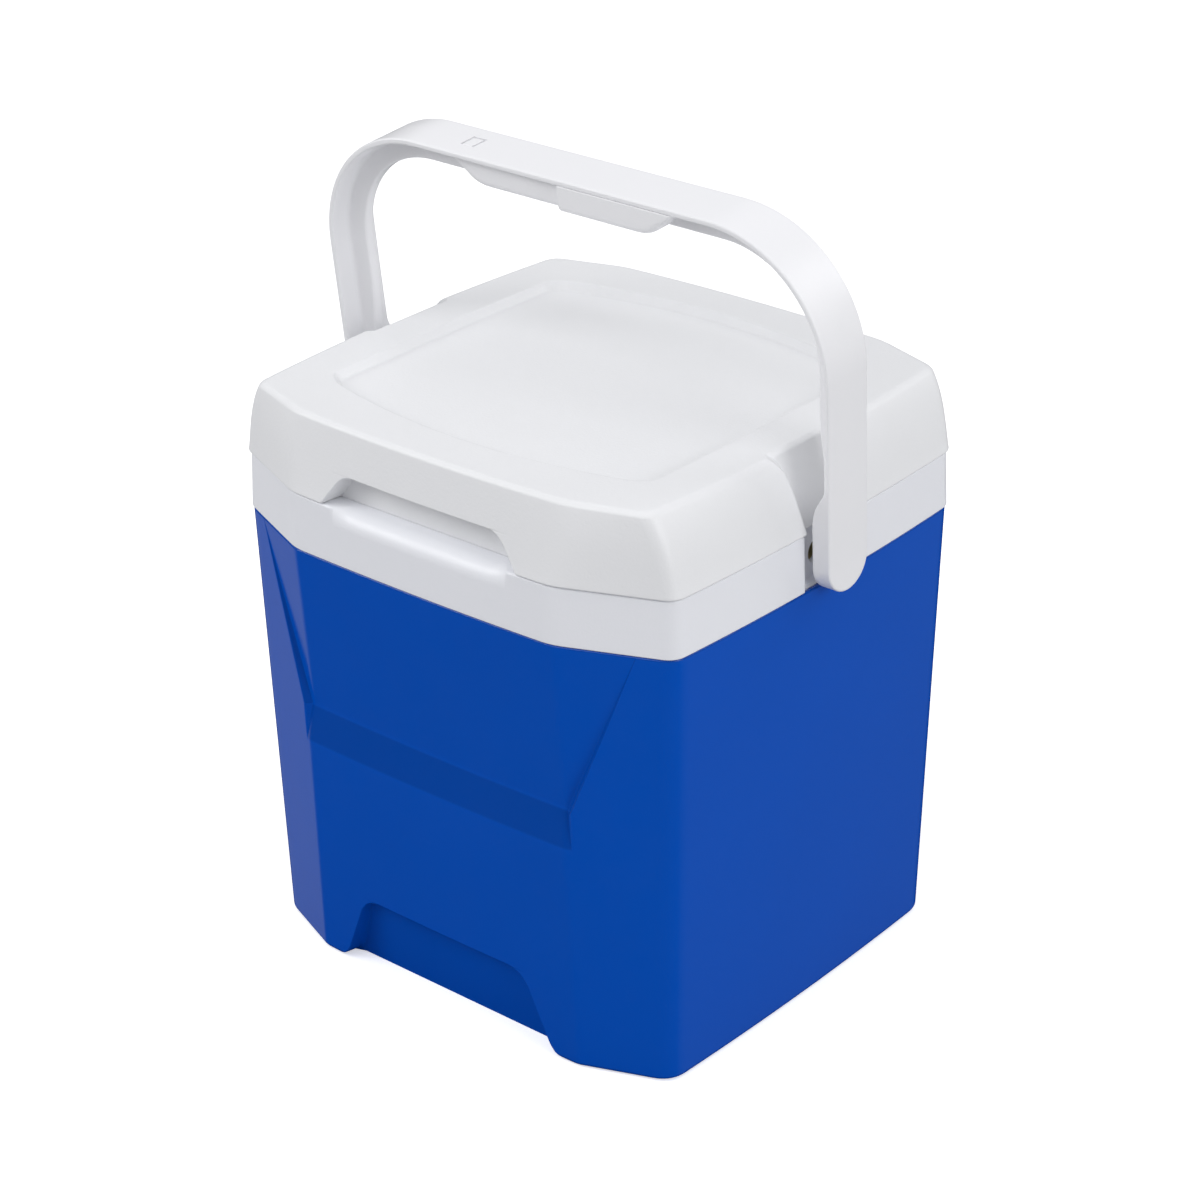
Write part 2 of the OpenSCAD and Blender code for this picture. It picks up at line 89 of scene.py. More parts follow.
FINE = np.array([-3.2, -2.4, -1.8, -1.3, -0.9, -0.5, -0.2, 0.1, 0.4, 0.8, 1.3, 2.0])
WIDE = np.array([-4.4, -3.0, -2.2, -1.6, -1.0, -0.5, 0.0, 0.5, 1.0, 1.5, 2.2, 3.4])


def quarter(a, b, chamfer, be, bf, cut, crease, soft, sink=0.0, ys=16.0, xa=56.0, ysteps=FINE):
    """Quarter of the outline, from the middle of an end face to the middle of the front or
    back. The front lies sink below its bow, and so does the chamfer from crease on. ys and
    xa are where the end face and the front have their fine steps, at a feature's edge.
    Returns the points and the index where the front part starts."""
    side = np.array([a, b - chamfer[1]])
    front = np.array([a - chamfer[0], b])
    y_last = side[1] - cut
    yy = np.concatenate([
        np.linspace(0, ys + ysteps[0], 9)[:-1], ys + ysteps,
        np.linspace(ys + ysteps[-1], y_last, 10)[1:]])
    end = np.c_[a + be * (1 - (yy / side[1]) ** 2), yy]
    corner = fillet(end[-1], side, front, cut, cut, 10)[1:]
    leg = (side - front) / np.linalg.norm(side - front)
    normal = np.array([-leg[1], leg[0]])

    def face_y(x):
        return b + bf * (1 - (x / front[0]) ** 2) - sink

    brow = front + leg * crease
    foot = brow - normal * sink - leg * (0.35 * sink + 0.3)
    turn = np.array([front[0] - sink * normal[0] / (1 + normal[1]), b - sink])
    wall, flat = np.linalg.norm(foot - brow), np.linalg.norm(turn - foot)
    t0, t1, t2 = min(0.8, 0.45 * wall), min(0.9, 0.45 * wall, 0.45 * flat), min(soft, 0.52 * flat)
    f0 = fillet(corner[-1], brow, foot, t0, t0, 5)
    f1 = fillet(brow, foot, turn, t1, t1, 5)
    f2 = fillet(foot, turn, [turn[0] - 9, face_y(turn[0] - 9)], t2, soft, 8)
    cham = np.linspace(corner[-1], f0[0], 7)[1:-1]
    flat = np.concatenate([f0, f1, np.linspace(f1[-1], f2[0], 5)[1:-1]])
    xs = f2[-1][0]
    xa = min(xa, xs - FINE[-1] - 0.6)
    xx = np.concatenate([
        np.linspace(xs, xa + FINE[-1], 7)[1:], (xa + FINE[::-1])[1:],
        np.linspace(xa + FINE[0], 0, 12)[1:]])
    face = np.c_[xx, face_y(xx)]
    pts = np.concatenate([end, corner, cham, flat, f2, face])
    return pts, len(end) + len(corner) + len(cham)


def ring(back, front, z):
    """Closed ring at height z from a back and a front quarter."""
    parts = []
    turns = ((back, 1, 1, False), (back, -1, 1, True), (front, -1, -1, False), (front, 1, -1, True))
    for q, sx, sy, flip in turns:
        q = (q[::-1] if flip else q)[:-1]
        parts.append(np.c_[q[:, 0] * sx, q[:, 1] * sy, np.full(len(q), z)])
    return np.concatenate(parts)


# ---------- feature outlines, as half outlines from the seam or base up ----------

def arch_line(grow):
    """Half outline of the arched cut at the foot, grow larger all round."""
    base = np.array([ARCH_BASE + grow, 0.0])
    crown = np.array([ARCH_TOP + grow, ARCH_H + grow])
    foot = fillet([base[0] + 16, 0], base, crown, 9, 9, 12)
    head = fillet(base, crown, [0, crown[1]], 10, 10, 12)
    return np.concatenate([foot, head, [[0, crown[1]]]])


def notch_line(grow):
    """Half outline of the finger notch in the lid's front, grow larger all round."""
    seam = np.array([NOTCH_HALF + grow, LID_Z])
    high = np.array([NOTCH_HALF - 13 + grow, LID_Z + NOTCH_H + grow])
    head = fillet(seam, high, [0, high[1]], 6, 6, 10)
    return np.concatenate([[[seam[0], LID_Z - 20]], [seam], head, [[0, high[1]]]])


def line_x(line, z):
    """Half width of the outline at height z."""
    k = int(np.argmax(line[:, 1])) + 1
    return float(np.interp(z, line[:k, 1], line[:k, 0]))


def line_d(line, x, z):
    """Signed distance from points (x, z) to the outline, negative inside it."""
    p = np.stack([x, np.full(len(x), z)], 1)[:, None, :]
    a, b = line[:-1][None], line[1:][None]
    ab = b - a
    t = np.clip(((p - a) * ab).sum(-1) / np.maximum((ab * ab).sum(-1), 1e-12), 0, 1)
    d = np.linalg.norm(p - (a + ab * t[..., None]), axis=-1).min(1)
    inside = (x < line_x(line, z)) & (z < line[:, 1].max())
    return np.where(inside, -d, d)


ARCH0, ARCH1 = arch_line(0.0), arch_line(SHELL_T)


# ---------- outer shell ----------

def panel_at(z):
    """Share of its full depth that the upper panel has at height z."""
    return float(np.interp(z, [SHELF_BOTTOM, SHELF_TOP, SHELL_H], [0, 1, 0]))


def soft_panel(z):
    return sum(panel_at(z + o) for o in np.linspace(-SHELF_SOFT, SHELF_SOFT, 9)) / 9


def crease_at(z):
    """How far from the front's corner the panel reaches onto the chamfer."""
    u = max(0.0, (z - SHELF_TOP) / (SHELL_H - SHELF_TOP))
    return 4 + u * 0.62 * float(np.linalg.norm(CHAMFER))


def body_ring(z, inset, height, grow=0.0, arch=True):
    """Shell outline of level z, drawn at the given height. grow widens the arched cut."""
    t = z / SHELL_H
    a = HALF_W - TAPER_W / 2 * (1 - t) - inset
    b = HALF_D - TAPER_D / 2 * (1 - t) - inset
    chamfer = CHAMFER_BASE + (CHAMFER - CHAMFER_BASE) * t
    line = ARCH0 if grow == 0 else ARCH1
    q, k = quarter(
        a, b, chamfer, BOW_END - 1.2 * (1 - t), BOW_FRONT, 9.5, crease_at(z), 2.4,
        sink=PANEL_DEPTH * soft_panel(z), xa=line_x(line, min(max(height, 0), line[:, 1].max())))
    if arch and height < line[:, 1].max() + 2:
        x, y = q[k:, 0], q[k:, 1]
        d = line_d(line, x, height)
        back = HALF_D - TAPER_D / 2
        low = back - ARCH_DEPTH
        high = back + 1.5 - ARCH_DEPTH * 0.3
        back_y = low + (high - low) * height / ARCH_H - grow
        q[k:, 1] = y - np.maximum(y - back_y, 0) * ramp(d, -1.5, 0.5)
    return ring(q, q, height)


def shell_rings():
    """The shell from its underside up over the lip and down the inside."""
    out = []
    for ang in np.linspace(0, 90, 10):
        z = FOOT_R * (1 - cos(radians(ang)))
        out.append(body_ring(z, FOOT_R * (1 - sin(radians(ang))), z))
    arch_top = [39.2, 40.4, 40.9, 41.3, 41.7, 42.1, 42.4, 42.7, 43.0, 43.3, 43.7, 44.2, 46]
    bend = np.array([-1.8, -1.3, -0.9, -0.45, 0, 0.45, 0.9, 1.3, 1.8])
    levels = np.concatenate([
        [5.0, 7.0], np.arange(9.5, 38, 2.6), arch_top, np.linspace(54, 114, 7), [119, 121.5],
        SHELF_BOTTOM + bend, [128, 131, 134, 137, 140], SHELF_TOP + bend,
        np.linspace(150, 226, 11)])
    for z in levels:
        out.append(body_ring(z, 0, z))
    for ang in np.linspace(0, 90, 6):
        z = SHELL_H - LIP_R + LIP_R * sin(radians(ang))
        out.append(body_ring(z, LIP_R * (1 - cos(radians(ang))), z))
    w = SHELL_T
    upper = [231.6, 220, 190, 160, 148, 144, 138, 130, 124, 118, 90, 60, 50]
    for z in np.concatenate([upper, np.arange(46.5, 8.6, -2.0)]):
        out.append(body_ring(z, w, z, grow=w))
    for z, inset in ((6, w + 0.8), (4, w + 2.2), (3, w + 4), (2.4, w + 6.5)):
        out.append(body_ring(z, inset, z, grow=w))
    return out


# ---------- liner: tub, rim and collar ----------

def plan(a, b, chamfer, be, bf, cut=6.4, soft=5.6, crease=14.0, **kw):
    return quarter(a, b, chamfer, be, bf, cut, crease, soft, **kw)


def tub_ring(z, grow):
    """Outline of the tub's inside, grow larger all round."""
    t = (z - FLOOR_T) / (RIM_Z - FLOOR_T)
    a = HALF_W - MOUTH_WALL - TUB_TAPER * (1 - t) + grow
    b = HALF_D - MOUTH_WALL - TUB_TAPER * (1 - t) + grow
    q = plan(a, b, (46.0, 19.0), 2.0, 1.2, cut=13.0, soft=8, crease=18.0)[0]
    return ring(q, q, z)


def collar_ring(z, inset, height=None, channel=0.0, finger=True):
    """Collar outline. channel is how much further in the handle channel lies than its face."""
    h = z if height is None else height
    t = max(0.0, (z - SHELL_H) / 29.0)
    a = HALF_W - COLLAR_DRAFT * t
    b = HALF_D - COLLAR_DRAFT * t
    q, k = plan(
        a - inset, b - inset, CHAMFER, BOW_END, BOW_FRONT,
        ys=CHANNEL_HALF + channel, xa=NOTCH_HALF - 4)
    ends = q[:, 1] < 40
    floor = CHANNEL_X - channel
    d = np.abs(q[:, 1]) - (CHANNEL_HALF + channel)
    q[ends, 0] = (q[:, 0] - np.maximum(q[:, 0] - floor, 0) * ramp(d, -0.9, 0.5))[ends]
    f = q.copy()
    if finger and channel == 0 and h > FINGER_Z:
        # a hollow for the fingers, round in section, under the lid's notch
        hollow = FINGER_R - sqrt(max(0.0, FINGER_R ** 2 - (h - FINGER_Z) ** 2))
        extra = max(0.0, hollow - inset)
        m = ramp(f[k:, 0], NOTCH_HALF - 15, NOTCH_HALF - 4)
        f[k:, 1] = f[k:, 1] - extra * m
    return ring(q, f, h)


def liner_rings():
    """The liner from under its floor up the tub's outside, round the collar and back down
    inside the tub."""
    w = LINER_T
    lip = SHELL_T + GAP
    base = FLOOR_T - w
    out = []
    for z, g in ((base, w - 10), (base + 1, w - 6.5), (base + 3, w - 3), (FLOOR_T + 3, w - 0.8),
                 (FLOOR_T + 8, w), (120, w), (RIM_Z - 4, w), (RIM_Z - 2.6, w + 1)):
        out.append(tub_ring(z, g))
    out.append(collar_ring(RIM_Z - 2.6, 12, finger=False))
    for z, inset in ((RIM_Z - 14, 12.2), (SHELL_H + 5, 3.2)):
        out.append(collar_ring(z, inset, channel=2.6, finger=False))
    out.append(body_ring(SHELL_H, lip + 2.4, SHELL_H + 1, arch=False))
    for z, inset in ((222, lip + 2.4), (222, lip + 0.6), (223.5, lip + 0.2), (225, lip), (228, lip),
                     (SHELL_H - 0.2, lip)):
        out.append(body_ring(z, inset, z, arch=False))
    out.append(collar_ring(SHELL_H, 2.6, height=SHELL_H + 0.02))
    out.append(collar_ring(SHELL_H, 0.5, height=SHELL_H + 0.02))
    for ang in (20, 45, 70, 90):
        out.append(collar_ring(SHELL_H + 0.7 * (1 - cos(radians(ang))), 0.5 * (1 - sin(radians(ang)))))
    for z in (236, 240, 244, 248, 251.5, 252.6, 253.8, 255, 256.2, 257.3, 258.2, 259.0, 259.6):
        out.append(collar_ring(z, 0))
    for ang in (15, 30, 45, 60, 75, 90):
        z = RIM_Z - LIP_R + LIP_R * sin(radians(ang))
        out.append(collar_ring(z, LIP_R * (1 - cos(radians(ang)))))
    out.append(collar_ring(RIM_Z, 6))
    out.append(collar_ring(RIM_Z, 11, finger=False))
    mouth_r, floor_r = 2.6, 12
    for ang in (0, 20, 40, 60, 80, 90):
        z = RIM_Z - mouth_r * (1 - cos(radians(ang)))
        out.append(tub_ring(z, mouth_r * (1 - sin(radians(ang)))))
    for z in (248, 220, 180, 140, 100, 60, FLOOR_T + 14):
        out.append(tub_ring(z, 0))
    for ang in np.linspace(8, 90, 9):
        z = FLOOR_T + floor_r * (1 - sin(radians(ang)))
        out.append(tub_ring(z, -floor_r * (1 - cos(radians(ang)))))
    return out


# ---------- lid ----------

NOTCH0, NOTCH1, NOTCH2 = notch_line(0.0), notch_line(LID_WALL), notch_line(LID_WALL + GAP)


def lid_ring(z, inset, height=None, grow=0.0, line=NOTCH0):
    """Lid outline of level z, drawn at the given height. grow widens the side scoops and the
    notch, whose outline is line."""
    h = z if height is None else height
    t = (z - LID_Z) / LID_H
    s = max(t, 0)
    a = LID_HALF_W - LID_INSET * (0.6 * s + 0.4 * s ** 4)
    b = LID_HALF_D - LID_INSET_D * s
    chamfer = CHAMFER - np.array([16.0, 10.0]) * t
    be = BOW_END + 2 * t
    top = line[:, 1].max()
    scoop_z = [LID_Z, LID_Z + 32.8, LID_Z + 38, TOP_Z + 4]
    ys = float(np.interp(h, scoop_z, [13.5, 22, 26, 32])) + grow
    xa = line_x(line, min(h, top))
    bow = BOW_FRONT + 1.5 * t
    q, k = plan(a - inset, b - inset, chamfer, be, bow, ys=ys, xa=xa, ysteps=WIDE)
    full = plan(a, b, chamfer, be, bow, ys=ys, xa=xa, ysteps=WIDE)[0]
    ends = q[:, 1] < 60
    floor = HALF_W - 0.5 - SCOOP_IN * (h - LID_Z) / LID_H - grow
    depth = np.maximum((full if grow == 0 else q)[:, 0] - floor, 0)
    # the scoop's sides round over softly into the lid, its floor meets them in a small radius
    m = ramp(np.abs(q[:, 1]) - ys, -2.4, 1.8)
    q[ends, 0] = (q[:, 0] - depth * m)[ends]
    f = q.copy()
    if h < top + 2:
        x, y = f[k:, 0], f[k:, 1]
        d = line_d(line, x, h)
        notch_y = LID_HALF_D - NOTCH_DEPTH - grow
        f[k:, 1] = y - np.maximum(y - notch_y, 0) * ramp(d, -0.9, 0.45)
    return ring(q, f, h)


def recess_ring(z, grow):
    """Outline of the shallow tray in the lid's top."""
    q = plan(99.5 + grow, 85 + grow, (9.0, 7.0), 0.8, 13.0, cut=3.4, soft=2.5, crease=6.0)[0]
    return ring(q, q, z)


def blend_rings(r0, r1, n):
    return [r0 + (r1 - r0) * t for t in np.linspace(0, 1, n + 2)[1:-1]]


def lid_rings():
    """The outside of the lid cover, from its lower edge to the middle of the tray."""
    out = []
    for z, inset in ((0.0, 1.1), (0.05, 0.7), (0.25, 0.3), (0.6, 0.08), (1.1, 0.0)):
        out.append(lid_ring(LID_Z, inset, height=LID_Z + z))
    for z in (3, 6, 9, 12, 14.5, 15.6, 16.0, 16.3, 16.6, 16.9, 17.15, 17.4, 17.8, 19, 21, 23.5, 26,
              28.5, 31, 33, 34.6, 35.8):
        out.append(lid_ring(LID_Z + z, 0))
    r = LID_EDGE_R
    for ang in np.linspace(8, 90, 9):
        s, c = sin(radians(ang)), cos(radians(ang))
        out.append(lid_ring(TOP_Z - r + r * s, r * (1 - c) - 0.25 * s))
    rim = recess_ring(TOP_Z, 1.6)
    out += blend_rings(out[-1], rim, 3)
    for ang in (0, 20, 40, 60, 80):
        out.append(recess_ring(TOP_Z - 1.0 * (1 - cos(radians(ang))), 1.6 - 1.2 * sin(radians(ang))))
    out.append(recess_ring(TOP_Z - 2.4, -0.4))
    for ang in (0, 25, 50, 75, 90):
        z = TOP_Z - RECESS_DEPTH + 1.4 * (1 - sin(radians(ang)))
        out.append(recess_ring(z, -1.0 - 1.8 * (1 - cos(radians(ang)))))
    return out


def lid_inside_rings():
    """The inner wall of the lid cover, from its lower edge up, then in under the top."""
    out = []
    for z in (0.0, 3, 6, 9, 12, 14.5, 17, 18.2, 18.8, 19.2, 19.6, 20.0, 20.6, 22, 25, 28, 31, 34,
              37.4):
        out.append(lid_ring(LID_Z + z, LID_WALL, grow=LID_WALL, line=NOTCH1))
    out.append(recess_ring(TOP_Z - LID_WALL, LID_WALL + 0.8))
    out.append(recess_ring(TOP_Z - RECESS_DEPTH - LID_WALL, LID_WALL - 2))
    return out


def underside_rings():
    """The lid's underside: the plug that sits in the tub, its rim, and back down inside."""
    plug, plug_r = 2.4, 3
    w = LID_WALL + GAP
    lo = RIM_Z - 12
    out = []
    for ang in np.linspace(0, 90, 8):
        z = lo + plug_r * (1 - cos(radians(ang)))
        out.append(tub_ring(z, -plug - plug_r * (1 - sin(radians(ang)))))
    out.append(tub_ring(LID_Z - 1.2, -plug))
    for ang in (30, 60, 90):
        z = LID_Z - 1.2 + 1.2 * sin(radians(ang))
        out.append(tub_ring(z, -plug + 1.2 * (1 - cos(radians(ang)))))
    out.append(lid_ring(LID_Z, w, grow=w, line=NOTCH2))
    out.append(lid_ring(LID_Z, w, height=LID_Z + 2.2, grow=w, line=NOTCH2))
    out.append(tub_ring(LID_Z + 2.2, -plug - 2.2))
    out.append(tub_ring(lo + 4, -plug - 2.2))
    out.append(tub_ring(lo + 2.2, -plug - 5))
    return out


# ---------- handle ----------

SLANT = sqrt(1 + LEAN * LEAN)
BEND_C = np.array([HANDLE_HALF + LEAN * (REACH - BEND_R) - BEND_R * SLANT, REACH - BEND_R])


def arm_point(off, s):
    """(x, up) of the point off in from an arm's outer face, s above the pivot."""
    lean = LEAN * s if s > 0 else 0.0
    return np.array([HANDLE_HALF + lean - off * (SLANT if s > 0 else 1.0), s])


def at_pivot(p):
    """(x, across, up) in the handle's plane to the row frame."""
    x, w, h = p[..., 0], p[..., 1], p[..., 2]
    c, s = cos(radians(TILT)), sin(radians(TILT))
    return np.stack([x, w * c - h * s, PIVOT_Z + w * s + h * c], -1)


def section(tw, dr):
    """Half of the T section, web tw and rib dr deep, as rows of (share of the width, inset of
    the outline, depth from the outer face)."""
    half, r = HANDLE_W / 2, SECTION_R
    f = min(2.2, max(0.0, (dr - tw) * 0.45))
    rr = min(1.3, max(0.0, (dr - tw) * 0.4))
    pts = [(0.0, r, 0.0), (0.35, r, 0.0), (0.7, r, 0.0), (0.9, r, 0.0)]
    for ang in np.linspace(0, 90, 5):
        pts.append((1.0, r * (1 - sin(radians(ang))), r * (1 - cos(radians(ang)))))
    for ang in np.linspace(0, 90, 5):
        pts.append((1.0, r * (1 - cos(radians(ang))), tw - r + r * sin(radians(ang))))
    for share in (0.85, 0.6):
        pts.append((share, r, tw))
    h = half - r
    hr = RIB_T / 2
    for ang in np.linspace(0, 90, 6):
        pts.append(((hr + f - f * sin(radians(ang))) / h, r, tw + f * (1 - cos(radians(ang)))))
    mid = (tw + f + dr - rr) / 2
    pts.append((hr / h, r, mid))
    for ang in np.linspace(0, 90, 5):
        pts.append(((hr - rr * (1 - cos(radians(ang)))) / h, r, dr - rr + rr * sin(radians(ang))))
    pts.append((0.0, r, dr))
    return pts


def bail_stations():
    """Where the handle's sections lie, from the right ear's end to the middle of the bar, as
    (stretch, distance up the arm or angle of the bend or x)."""
    out = []
    half = HANDLE_W / 2
    for ang in np.linspace(90, 0, 15)[:-1]:
        out.append(("arm", -half * sin(radians(ang))))
    for s in (0, 4, 8, 12, 16, 20, 22, 24, 26, 28, 30, 32, 34, 35.5, 37, 38.5, 40, 41.5, 43, 46, 50,
              54, 58, 62, 66, 70, 76, 84, 91):
        out.append(("arm", float(s)))
    a0 = -degrees(atan(LEAN))
    for a in np.linspace(a0, 90, 27):
        out.append(("bend", float(a)))
    for x in np.linspace(BEND_C[0], 0, 9)[1:]:
        out.append(("top", float(x)))
    return out


WEB = ([20, 24, 28, 31, 34, 36.5, 39, 41, 43], [EAR_T, 9.9, 9.3, 8.5, 7.1, 5.6, 4.1, 3.2, WEB_T])
RIB = ([12, 32, 40, 50, 60, 68, 76], [9.6, 9.7, 10.6, 12.1, 13.4, 14.1, 14.3])


def station_rings():
    """The handle from ear to ear. WEB and RIB are the depths of the web and the rib by the
    height up the arm, and past the arm they stay at their last value."""
    half = HANDLE_W / 2
    rings = []
    for kind, v in bail_stations():
        s = v if kind == "arm" else np.inf
        tw = float(np.interp(s, *WEB))
        pts = section(tw, max(float(np.interp(s, *RIB)), tw))
        row = []
        for share, inset, d in pts:
            h = half - inset
            if kind == "arm" and v < 0:
                sj = max(v, -h)
                w = share * sqrt(max(0.0, h * h - sj * sj))
                x, up = arm_point(d, sj)
            elif kind == "arm":
                w = share * h
                x, up = arm_point(d, v)
            elif kind == "bend":
                w = share * h
                x = BEND_C[0] + (BEND_R - d) * cos(radians(v))
                up = BEND_C[1] + (BEND_R - d) * sin(radians(v))
            else:
                w = share * h
                x, up = v, REACH - d
            row.append((x, w, up))
        row = np.array(row)
        other = row[1:-1][::-1] * np.array([1, -1, 1])
        rings.append(np.concatenate([row, other]))
    mirrored = [r * np.array([-1, 1, 1]) for r in rings[:-1][::-1]]
    return [at_pivot(r) for r in rings + mirrored]


def disc_rings(profile, n, place):
    """Rings of a turned piece from (position along the axis, radius) pairs."""
    ang = np.linspace(0, 2 * pi, n, endpoint=False)
    return [place(np.stack([np.full(n, u), r * np.cos(ang), r * np.sin(ang)], -1)) for u, r in profile]


def block(x0, x1, half, low, high, soft):
    """Small upright block with a softened top, as rings from low to high."""
    mid, hx = (x0 + x1) / 2, (x1 - x0) / 2
    corners = ((-1, -1), (1, -1), (1, 1), (-1, 1))
    out = []
    for up, inset in ((low, 0), (high - soft, 0), (high - soft * 0.3, soft * 0.3), (high, soft)):
        a, b = hx - inset, half - inset
        out.append(at_pivot(np.array([(mid + sx * a, sy * b, up) for sx, sy in corners])))
    return out


def grip_rings():
    """Sections of the grip along the top bar. Its left half is narrower than the bar."""
    out = []
    under = WEB_T + 0.02
    drop = 17.0
    top, base = 69.0, 55.0
    xs = np.concatenate([
        np.linspace(-top, -66, 4), np.linspace(-65, -50, 12), np.linspace(-46, -4, 8),
        np.linspace(-3, 3, 13), np.linspace(6, 46, 8), np.linspace(50, 65, 12),
        np.linspace(66, top, 4)])
    side = fillet([top, under], [base, drop], [0, drop], 8, 8, 12)
    line = np.concatenate([[[top, under]], side, [[0, drop]]])[::-1]
    for x in xs:
        d = float(np.interp(abs(x), line[:, 0], line[:, 1]))
        d = max(d, under + 0.05)
        wide = float(ramp(-x, -1.6, 1.6))
        half = 11.0 + 3.85 * wide
        depth = d - under
        r = min(4.5, depth * 0.48)
        e = min(0.6, depth * 0.2)
        pts = [(0, under), (half * 0.5, under), (half - e, under)]
        for ang in (30, 60, 90):
            pts.append((half - e * (1 - sin(radians(ang))), under + e * (1 - cos(radians(ang)))))
        pts.append((half, under + e + (depth - e - r) * 0.5))
        for ang in np.linspace(0, 90, 7):
            pts.append((half - r * (1 - cos(radians(ang))), d - r + r * sin(radians(ang))))
        pts.append((half * 0.4, d))
        pts.append((0, d))
        row = np.array([(x, w, REACH - dd) for w, dd in pts])
        other = row[1:-1][::-1] * np.array([1, -1, 1])
        out.append(at_pivot(np.concatenate([row, other])))
    return out


# ---------- meshes ----------

def clean(o):
    """Joins doubled points, drops faces with no area, turns normals outwards and marks sharp edges."""
    bm = bmesh.new()
    bm.from_mesh(o.data)
    bmesh.ops.remove_doubles(bm, verts=bm.verts, dist=2e-6)
    bmesh.ops.dissolve_degenerate(bm, edges=bm.edges, dist=2e-6)
    bmesh.ops.recalc_face_normals(bm, faces=bm.faces)
    for f in bm.faces:
        f.smooth = True
    for e in bm.edges:
        e.smooth = not (len(e.link_faces) == 2 and e.calc_face_angle(0.0) > radians(SHARP))
    bm.to_mesh(o.data)
    bm.free()


def loft_faces(rings, start):
    """Faces of one lofted and capped skin, whose first vertex is number start."""
    n = len(rings[0])
    faces = []
    for k in range(len(rings) - 1):
        p, q = start + k * n, start + (k + 1) * n
        for i in range(n):
            j = (i + 1) % n
            faces.append((p + i, p + j, q + j, q + i))
    faces.append(tuple(range(start + n - 1, start - 1, -1)))
    last = start + (len(rings) - 1) * n
    faces.append(tuple(range(last, last + n)))
    return faces


def loft(name, *parts):
    """One object from one or more lists of rings, each closed at both ends."""
    verts, faces, start = [], [], 0
    for rings in parts:
        verts += rings
        faces += loft_faces(rings, start)
        start += len(rings) * len(rings[0])
    me = bpy.data.meshes.new(name)
    me.from_pydata([tuple(v) for v in np.concatenate(verts) * MM], [], faces)
    o = bpy.data.objects.new(name, me)
    bpy.context.scene.collection.objects.link(o)
    clean(o)
    return o


def cut(o, cutter):
    """Takes the cutter out of the object and deletes the cutter."""
    m = o.modifiers.new("cut", "BOOLEAN")
    m.operation = "DIFFERENCE"
    m.solver = "EXACT"
    m.object = cutter
    bpy.context.view_layer.update()
    done = bpy.data.meshes.new_from_object(o.evaluated_get(bpy.context.evaluated_depsgraph_get()))
    o.modifiers.remove(m)
    old = o.data
    o.data = done
    bpy.data.meshes.remove(old)
    gone = cutter.data
    bpy.data.objects.remove(cutter)
    bpy.data.meshes.remove(gone)
    clean(o)


def weighted(o):
    m = o.modifiers.new("even normals", "WEIGHTED_NORMAL")
    m.keep_sharp = True
    m.weight = 80


# ---------- materials ----------

def plastic(name, color, rough, vary=0.02, rough_vary=0.05, grain=900.0, grain_depth=0.00006,
            spec=0.5, painted_shade_up=0.0):
    """Moulded plastic: faint mottling of the colour, uneven gloss and a fine moulded texture.
    The last argument is painted shade: the colour is made that much darker where a slope looks up, as
    on the smooth shelf of the panel."""
    m = bpy.data.materials.new(name)
    m.use_nodes = True
    nt = m.node_tree
    nt.nodes.clear()
    out = nt.nodes.new("ShaderNodeOutputMaterial")
    bs = nt.nodes.new("ShaderNodeBsdfPrincipled")
    nt.links.new(bs.outputs["BSDF"], out.inputs["Surface"])
    tc = nt.nodes.new("ShaderNodeTexCoord")

    def noise(scale, detail):
        n = nt.nodes.new("ShaderNodeTexNoise")
        n.inputs["Scale"].default_value = scale
        n.inputs["Detail"].default_value = detail
        nt.links.new(tc.outputs["Object"], n.inputs["Vector"])
        return n.outputs["Fac"]

    def bump(height, distance):
        n = nt.nodes.new("ShaderNodeBump")
        n.inputs["Strength"].default_value = 1.0
        n.inputs["Distance"].default_value = distance
        nt.links.new(height, n.inputs["Height"])
        return n

    mix = nt.nodes.new("ShaderNodeMix")
    mix.data_type = "RGBA"
    mix.inputs[6].default_value = [c * (1 - vary) for c in color] + [1]
    mix.inputs[7].default_value = [min(1, c * (1 + vary)) for c in color] + [1]
    nt.links.new(noise(14.0, 4.0), mix.inputs[0])
    colour = mix.outputs[2]
    # painted shade: the base colour is darkened where the surface faces up, standing in for the darker
    # reflection on the shelf
    if painted_shade_up:
        split = nt.nodes.new("ShaderNodeSeparateXYZ")
        nt.links.new(tc.outputs["Normal"], split.inputs[0])
        painted_shade_mask = nt.nodes.new("ShaderNodeMapRange")
        painted_shade_mask.interpolation_type = "SMOOTHSTEP"
        painted_shade_mask.inputs["From Min"].default_value = 0.02
        painted_shade_mask.inputs["From Max"].default_value = 0.14
        nt.links.new(split.outputs["Z"], painted_shade_mask.inputs["Value"])
        darker = nt.nodes.new("ShaderNodeMix")
        darker.data_type = "RGBA"
        darker.blend_type = "MULTIPLY"
        darker.inputs[7].default_value = (1 - painted_shade_up, 1 - painted_shade_up, 1 - painted_shade_up, 1)
        nt.links.new(painted_shade_mask.outputs["Result"], darker.inputs[0])
        nt.links.new(colour, darker.inputs[6])
        colour = darker.outputs[2]
    nt.links.new(colour, bs.inputs["Base Color"])
    mr = nt.nodes.new("ShaderNodeMapRange")
    mr.inputs["From Min"].default_value = 0.3
    mr.inputs["From Max"].default_value = 0.7
    mr.inputs["To Min"].default_value = rough - rough_vary
    mr.inputs["To Max"].default_value = rough + rough_vary
    nt.links.new(noise(60.0, 6.0), mr.inputs["Value"])
    nt.links.new(mr.outputs["Result"], bs.inputs["Roughness"])
    wave = bump(noise(9.0, 1.0), 0.0006)
    fine = bump(noise(grain, 2.0), grain_depth)
    nt.links.new(wave.outputs["Normal"], fine.inputs["Normal"])
    nt.links.new(fine.outputs["Normal"], bs.inputs["Normal"])
    bs.inputs["Specular IOR Level"].default_value = spec
    return m


def put(o, mat):
    o.data.materials.clear()
    o.data.materials.append(mat)
